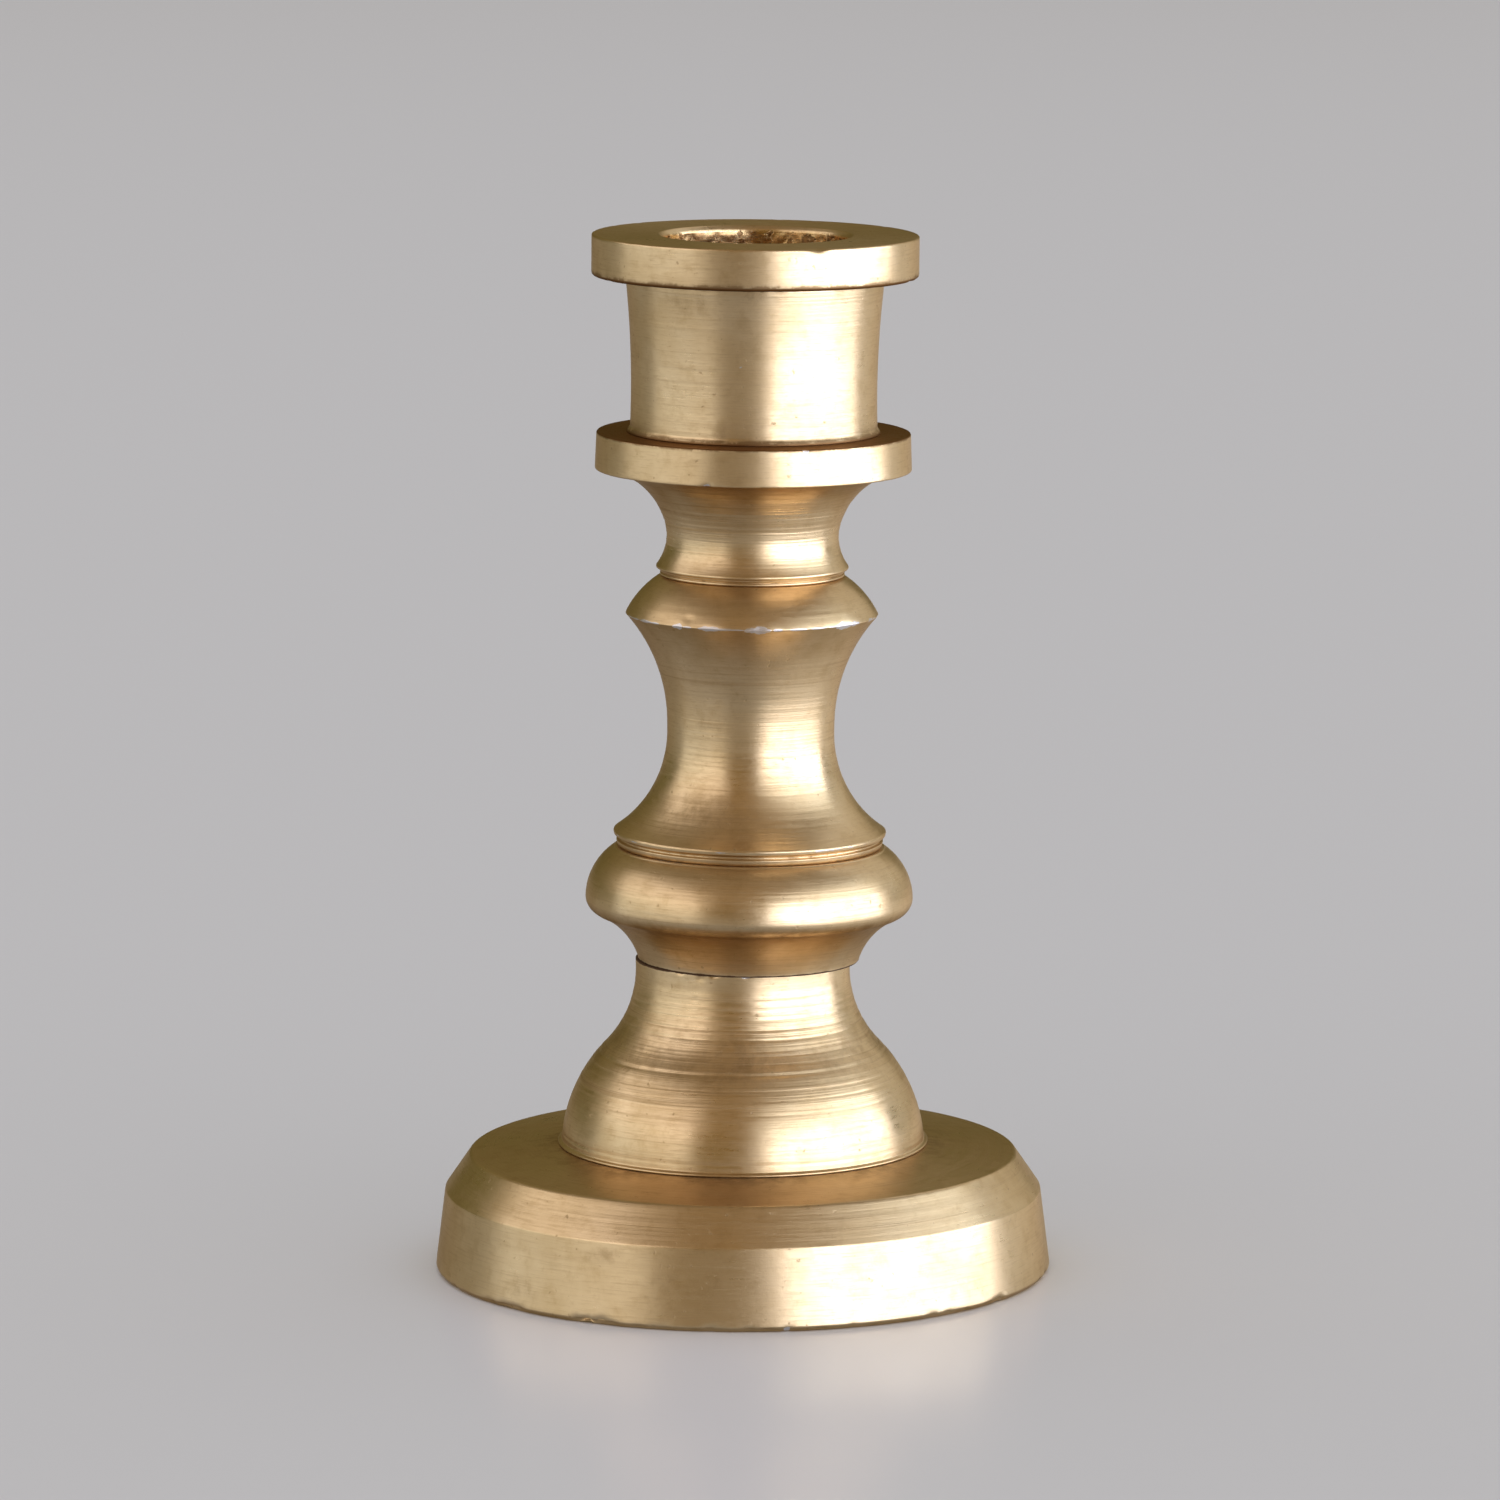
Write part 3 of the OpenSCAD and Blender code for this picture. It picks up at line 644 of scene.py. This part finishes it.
pieces = {
    "base_plate": turned(
        "base_plate", plate_outline(), 11, marks=[(0.3, 5.8, 0.0008), (5.9, 9.3, 0.0025)],
        nicks=[(FRONT + 8, 0.15, 0.4, 0.5, 0.12, 1.0), (FRONT - 30, 0.1, 0.3, 0.8, 0.08, 0.4),
               (FRONT - 38, 3.4, 0.5, 0.5, 0.03, 0.0), (FRONT - 12, 3.6, 0.4, 0.5, 0.02, 0.0),
               (FRONT + 50, 5.1, 0.4, 0.4, 0.03, 0.0)]
        + chips(31, 80, 0.22, 0.8, 0.16, 0.4, 0.1, 0.4)
        + chips(32, 16, 3.0, 0.4, 0.015, 0.0, 2.5),
        grooves=scratches(41, 6.2, 9.2, 24, 0.004, 0.2) + scratches(42, 0.5, 5.6, 6, 0.003),
        stains_and_shade_rings=[(FRONT - 27, 5.0, 1.2, 2.6, 0.25), (FRONT - 15, 3.7, 1.6, 1.4, 0.22),
                (FRONT - 45, 1.5, 1.8, 2.0, 0.2), (FRONT + 120, 3.0, 2.0, 3.0, 0.35)]
        + all_round(PLATE_TOP, 0.4, 14.0, 0.45),
        hidden=plate_inside, step=0.14, sectors=440),
    "base_dome": turned(
        "base_dome", dome_outline(), 12,
        marks=[(SEAM - 5.0, SEAM - 1.2, 0.010), (SEAM - 9.5, SEAM - 4.6, 0.007), (9.5, 15, 0.003),
               (SEAM - 1.4, SEAM, 0.002)],
        nicks=[(FRONT - 23, SEAM - 0.3, 0.5, 0.5, 0.06, 0.0), (FRONT - 26, SEAM - 1.9, 0.3, 0.3, 0.04, 0.0),
               (FRONT - 29, SEAM - 4.4, 0.35, 0.35, 0.04, 0.0), (FRONT + 2, SEAM - 0.12, 0.2, 0.7, 0.04, 1.0),
               (FRONT + 27, 11.2, 0.4, 0.6, 0.02, 0.0)]
        + chips(33, 26, SEAM - 0.05, 0.5, 0.06, 0.4),
        grooves=[(SEAM - 3.95, 0.20, 0.035, FRONT, 150), (SEAM - 6.85, 0.24, 0.045, FRONT - 10, 170),
                 (SEAM - 2.6, 0.16, 0.018, FRONT + 30, 90), (SEAM - 3.2, 0.14, 0.02, FRONT + 20, 100),
                 (SEAM - 4.6, 0.16, 0.02, FRONT - 30, 90), (SEAM - 5.3, 0.18, 0.024, FRONT + 50, 120),
                 (SEAM - 5.9, 0.16, 0.02, FRONT - 50, 110), (10.15, 0.18, 0.03, FRONT - 40, 120)]
        + scratches(43, SEAM - 9.5, SEAM - 1.5, 46, 0.018)
        + scratches(44, 9.6, 14, 12, 0.010),
        stains_and_shade_rings=[(FRONT + 150, SEAM - 5.5, 3.0, 7.0, 0.4)] + all_round(SEAM - 5.9, 3.6, 9.0, 0.3),
        grime_and_shade=[(SEAM, 0.12, 1.0), (PLATE_TOP, 0.08, 0.3)], sectors=324),
    "collar": turned(
        "collar", collar_outline(), 13, marks=[(SEAM, SEAM + 3.2, 0.004), (SEAM + 3.2, SEAM + 8, 0.003)],
        nicks=chips(34, 26, SEAM + COLLAR_EDGE_H + 0.1, 0.7, 0.03, 0.0, 0.25),
        grooves=scratches(45, SEAM + 0.3, COLLAR_TOP - 0.3, 16, 0.010),
        stains_and_shade_rings=[(FRONT + k * 40 + 10, SEAM + COLLAR_EDGE_H + 0.15, 0.8, 7.0, 0.5) for k in range(9)],
        grime_and_shade=[(SEAM - 0.05, 0.09, 1.0), (COLLAR_TOP, 0.05, 0.35)], on_stem=True),
    "baluster": turned(
        "baluster", baluster_outline(), 14, marks=[(32.5, 36, 0.003), (36, 46, 0.005), (46, 51, 0.002)],
        nicks=[(FRONT - 31, 49.0, 0.5, 0.8, 0.06, 0.0), (FRONT + 2, KNOP_EDGE - 0.03, 0.42, 1.7, 0.06, 1.2),
               (FRONT + 49, KNOP_EDGE, 0.40, 2.4, 0.06, 1.2), (FRONT + 70, KNOP_EDGE, 0.3, 0.8, 0.04, 0.8),
               (FRONT - 20, KNOP_EDGE, 0.32, 1.5, 0.05, 1.1), (FRONT - 36, KNOP_EDGE, 0.36, 0.8, 0.05, 1.1),
               (FRONT + 12, KNOP_EDGE, 0.24, 0.7, 0.03, 0.9), (FRONT - 29, 40.6, 0.5, 0.6, 0.02, 0.0)]
        + chips(35, 14, KNOP_EDGE, 1.0, 0.03, 1.0)
        + chips(36, 14, COLLAR_TOP + 1.0, 0.4, 0.03, 0.5),
        grooves=scratches(46, 35, 47, 36, 0.007) + scratches(47, 32.4, 35, 10, 0.010)
        + scratches(48, 48.6, KNOP_TOP, 8, 0.008),
        stains_and_shade_rings=[(FRONT - 33, 34.6, 2.4, 6.0, 0.4), (FRONT - 28, 40.8, 1.6, 2.8, 0.3),
                (FRONT + 130, 38.0, 3.0, 5.0, 0.4)],
        grime_and_shade=[(COLLAR_TOP, 0.05, 0.35), (COLLAR_TOP + 0.6, 0.07, 0.4), (KNOP_TOP, 0.05, 0.3)],
        # Worn edges: bare metal and a painted highlight along the knop's and skirt's edges.
        wear_and_edge_highlight=edge_wear_and_highlight, on_stem=True, step=0.15, sectors=304),
    "neck_and_pan": turned(
        "neck_and_pan", neck_outline(), 15,
        marks=[(KNOP_TOP + 2.6, KNOP_TOP + 6.4, 0.010), (KNOP_TOP + 0.8, KNOP_TOP + 7.5, 0.004)],
        nicks=[(FRONT - 17, 59.0, 0.3, 0.5, 0.08, 0.8), (FRONT + 19, PAN_TOP, 0.4, 0.35, 0.16, 0.8)]
        + chips(37, 18, PAN_TOP - 2.65, 0.5, 0.03, 0.3)
        + chips(38, 12, PAN_TOP, 0.5, 0.03, 0.3),
        grooves=scratches(49, KNOP_TOP + 2.2, KNOP_TOP + 7, 34, 0.014)
        + [(KNOP_TOP + 3.9, 0.2, 0.03, FRONT, 150)],
        # The dark ring round the pan's top is painted shade.
        stains_and_shade_rings=[(FRONT + 160, KNOP_TOP + 5, 2.0, 4.0, 0.4)] + all_round(PAN_TOP, 0.2, 40.0, 2.3),
        # The band on the pan's top is painted shade; the others are dirt in the joints.
        grime_and_shade=[(KNOP_TOP + 0.26, 0.04, 0.4), (KNOP_TOP, 0.05, 0.3), (PAN_TOP + 0.05, 0.1, 0.12)],
        on_stem=True, sectors=312),
    "candle_cup": turned(
        "candle_cup", cup_outline(), 16,
        marks=[(RIM_BOTTOM - 1.3, RIM_BOTTOM - 0.1, 0.003), (PAN_TOP, RIM_BOTTOM, 0.002),
               (RIM_BOTTOM + 0.1, RIM_TOP, 0.0012)],
        nicks=[(FRONT + 22, RIM_TOP, 0.4, 1.1, 0.2, 0.2), (FRONT + 72, RIM_BOTTOM, 0.3, 0.9, 0.08, 0.4),
               (FRONT - 11, 66.5, 0.13, 0.13, 0.0, 0.9), (FRONT - 8, 65.6, 0.12, 0.12, 0.0, 0.9),
               (FRONT - 13, 65.9, 0.1, 0.1, 0.0, 0.8), (FRONT - 6, 67.3, 0.1, 0.12, 0.0, 0.8)]
        + chips(39, 20, RIM_BOTTOM + 0.05, 0.6, 0.03, 0.3)
        + chips(40, 10, RIM_TOP, 0.5, 0.04, 0.4),
        grooves=[(RIM_BOTTOM - 0.38, 0.18, 0.020, FRONT, 300), (RIM_BOTTOM - 0.68, 0.16, 0.016, FRONT + 30, 200),
                 (RIM_BOTTOM - 0.98, 0.16, 0.010, FRONT + 40, 160)]
        + scratches(50, PAN_TOP + 0.6, RIM_BOTTOM - 0.4, 12, 0.003),
        stains_and_shade_rings=[(FRONT - 2, RIM_BOTTOM - 0.6, 0.8, 2.6, 0.5), (FRONT - 30, RIM_BOTTOM - 1.2, 1.6, 4.0, 0.25),
                (FRONT - 12, PAN_TOP + 0.9, 1.2, 2.6, 0.25), (FRONT - 100, 68.0, 3.0, 4.0, 0.35)]
        # The dark ring under the rim is painted shade; the one at the cup's foot darkens the joint.
        + all_round(RIM_BOTTOM + 0.08, 0.5, 40.0, 2.3)
        + all_round(PAN_TOP + 0.05, 0.5, 40.0, 2.0),
        # The band under the rim is painted shade; the one at the pan is dirt in the joint.
        grime_and_shade=[(PAN_TOP, 0.12, 0.3), (RIM_BOTTOM - 0.06, 0.1, 0.2)],
        rough=crinkle, cast=socket_wall, on_stem=True, step=0.16, sectors=288),
}
for name, piece in pieces.items():
    piece.data.materials.append(brass("brass_" + name))
    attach(piece, "root")
    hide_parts(name)

metal = steel("zinc_steel")
for name in ("tie_rod", "washer", "nut"):
    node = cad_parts[name]
    node.data.materials.clear()
    node.data.materials.append(metal)


# ---- Table, wall and light ----

# The table that the camera sees
TABLE = (0.74, 0.74, 0.74)
TABLE_SHINE, TABLE_ROUGHNESS = 0.16, 0.2
# How bright the table is in the brass, painted as the glow of a sheet that no lamp lights: at the left, near the
# right side, and far out to the right in front, where the glow paints the right soft box's reflection in the
# table
FLOOR_GLOW = (0.265, 0.25, 0.23)
FLOOR_GLOW_RIGHT = (0.52, 0.49, 0.45)
FLOOR_GLOW_FAR_RIGHT = (1.6, 1.53, 1.45)
WALL_GLOW = (0.46, 0.46, 0.46)
LIGHTS_AIM = 0.04
WASH = "floor_wash"
# Soft boxes: name, azimuth, elevation, distance, width, height, power, tint
PANELS = [
    ("right_low", 61.5, 4, 0.7, 1.44, 0.42, 7.6, (0.88, 0.89, 1.0)),
    ("right_high", 63, 30, 0.7, 1.4, 0.30, 1.65, (0.90, 0.96, 1.0)),
    ("right_back", 138, 30, 0.7, 0.45, 0.8, 0.48, (1.0, 0.97, 0.97)),
    ("left_low", -70, 4, 0.7, 1.0, 0.42, 0.97, (1.0, 0.98, 0.91)),
    ("left_high", -75, 31, 0.7, 1.05, 0.36, 1.1, (1.0, 0.9, 0.86)),
    (WASH, 0, 90, 1.6, 5.0, 5.0, 74.0, (0.78, 0.84, 1.0)),
]
# Light of the room: an even level, and what the sides in front, behind and overhead add to it
ROOM_LEVEL = (0.069, 0.06, 0.014)
ROOM_SIDES = (
    ((0, -1, 0), (0.102, 0.043, 0.0)),
    ((0, 1, 0), (0.07, 0.07, 0.03)),
    ((0, 0, 1), (0.128, 0.086, 0.071)),
)


def stage_object(name, points, faces):
    """An object of the set, which isn't part of the candlestick."""
    mesh = bpy.data.meshes.new(name)
    mesh.from_pydata(points, [], faces)
    thing = bpy.data.objects.new(name, mesh)
    bpy.context.scene.collection.objects.link(thing)
    return thing


def plane(name, height, half=2.2):
    """A wide level square."""
    sheet = stage_object(name, [(-half, -half, 0), (half, -half, 0), (half, half, 0), (-half, half, 0)],
                         [(0, 1, 2, 3)])
    sheet.location.z = height
    return sheet


def floor(wash_only):
    """A pale table top with a soft shine, and under it the darker one that the brass reflects: a glowing sheet
    whose glow is painted light, and far to the right a painted reflection of the right soft box.
    """
    table = plane("floor", -0.00002)
    material = bpy.data.materials.new("pale_table")
    n = Nodes(material)
    matt = n.add("ShaderNodeBsdfDiffuse", {"Color": colour(*TABLE)})
    shine = n.add("ShaderNodeBsdfAnisotropic", {"Color": colour(1, 1, 1), "Roughness": TABLE_ROUGHNESS})
    both = n.add("ShaderNodeMixShader", {0: TABLE_SHINE, 1: matt.outputs[0], 2: shine.outputs[0]})
    n.add("ShaderNodeOutputMaterial", {"Surface": both.outputs[0]})
    table.data.materials.append(material)
    table.visible_glossy = False
    wash_only.objects.link(table)
    wash_only.collection_objects[0].light_linking.link_state = "EXCLUDE"

    under = plane("floor_reflected", -0.00004)
    material = bpy.data.materials.new("glowing_table_in_brass")
    n = Nodes(material)
    place = n.add("ShaderNodeTexCoord").outputs["Object"]
    across, along, _ = n.add("ShaderNodeSeparateXYZ", {0: place}).outputs
    glow = n.mix(n.span(across, 0.005, 0.055), colour(*FLOOR_GLOW), colour(*FLOOR_GLOW_RIGHT))
    # Painted reflection: far out to the right in front, the glow stands for the right soft box's reflection in
    # the table.
    far = n.times(n.span(across, 0.07, 0.30), n.span(along, -0.14, 0.0, 1.0, 0.0))
    glow = n.mix(far, glow, colour(*FLOOR_GLOW_FAR_RIGHT))
    shader = n.add("ShaderNodeBsdfPrincipled", {"Base Color": colour(0, 0, 0), "Roughness": TABLE_ROUGHNESS,
                                                "Emission Color": glow, "Emission Strength": 1.0})
    n.add("ShaderNodeOutputMaterial", {"Surface": shader.outputs[0]})
    under.data.materials.append(material)
    under.visible_camera = under.visible_diffuse = under.visible_shadow = under.visible_transmission = False


def backdrop(radius=2.15, height=1.2, sides=96):
    """A pale wall all round, seen by the camera only, past the middle of the table's edges."""
    ring = [(radius * math.cos(a), radius * math.sin(a))
            for a in np.linspace(0, 2 * math.pi, sides, endpoint=False)]
    wall = stage_object("backdrop", [(x, y, z) for z in (-0.01, height) for x, y in ring],
                        [(i, (i + 1) % sides, sides + (i + 1) % sides, sides + i) for i in range(sides)])
    material = bpy.data.materials.new("pale_wall")
    n = Nodes(material)
    glow = n.add("ShaderNodeEmission", {"Color": colour(*WALL_GLOW)})
    n.add("ShaderNodeOutputMaterial", {"Surface": glow.outputs[0]})
    wall.data.materials.append(material)
    wall.visible_glossy = wall.visible_diffuse = wall.visible_shadow = wall.visible_transmission = False


def panel(wash_only, name, azimuth, elevation, distance, width, height, power, tint):
    """A soft box that faces the object. Azimuth runs from the camera's side towards its right."""
    light = bpy.data.lights.new(name, "AREA")
    light.shape = "RECTANGLE"
    light.size, light.size_y = width, height
    light.energy = power
    light.color = tint
    a, e = math.radians(azimuth), math.radians(elevation)
    place = Vector((math.sin(a) * math.cos(e), -math.cos(a) * math.cos(e), math.sin(e))) * distance
    place.z += LIGHTS_AIM
    lamp = bpy.data.objects.new(name, light)
    lamp.location = place
    lamp.rotation_euler = (Vector((0, 0, LIGHTS_AIM)) - place).to_track_quat("-Z", "Y").to_euler()
    lamp.visible_camera = False
    if name == WASH:
        lamp.visible_glossy = False
    else:
        lamp.light_linking.receiver_collection = wash_only
    bpy.context.scene.collection.objects.link(lamp)


def room():
    """A plain world whose level changes softly from side to side."""
    world = bpy.data.worlds.new("room")
    n = Nodes(world)
    way = n.add("ShaderNodeTexCoord").outputs["Generated"]
    total = colour(*ROOM_LEVEL)
    for side, extra in ROOM_SIDES:
        facing = n.add("ShaderNodeVectorMath", {0: way, 1: side}, operation="DOT_PRODUCT").outputs["Value"]
        part = n.mix(n.span(facing, 0.0, 0.9), colour(0, 0, 0), colour(*extra))
        total = n.mix(1.0, total, part, "ADD")
    sky = n.add("ShaderNodeBackground", {"Color": total})
    n.add("ShaderNodeOutputWorld", {"Surface": sky.outputs[0]})
    bpy.context.scene.world = world


# The soft boxes leave the table out, so that it is lit evenly from overhead whichever way the camera looks
no_table = bpy.data.collections.new("lit_by_floor_wash_only")
floor(no_table)
backdrop()
for settings in PANELS:
    panel(no_table, *settings)
room()
bpy.context.scene.view_settings.view_transform = "Standard"

# The camera: a long lens a little above the candlestick. The focal length is in pixels of the 1500-pixel frame.
HALF_FRAME_PX, FOCAL_PX = 750, 8310
SENSOR_W = 36
PITCH = math.radians(8.95)
DISTANCE = 0.6058
AIM = Vector((0.00053, 0, 0.0383))
camera_data = bpy.data.cameras.new("camera")
camera_data.sensor_width = SENSOR_W
camera_data.lens = SENSOR_W / 2 * FOCAL_PX / HALF_FRAME_PX
camera = bpy.data.objects.new("camera", camera_data)
camera.location = AIM + Vector((0, -math.cos(PITCH), math.sin(PITCH))) * DISTANCE
camera.rotation_euler = (math.pi / 2 - PITCH, 0, 0)
bpy.context.scene.collection.objects.link(camera)
bpy.context.scene.camera = camera
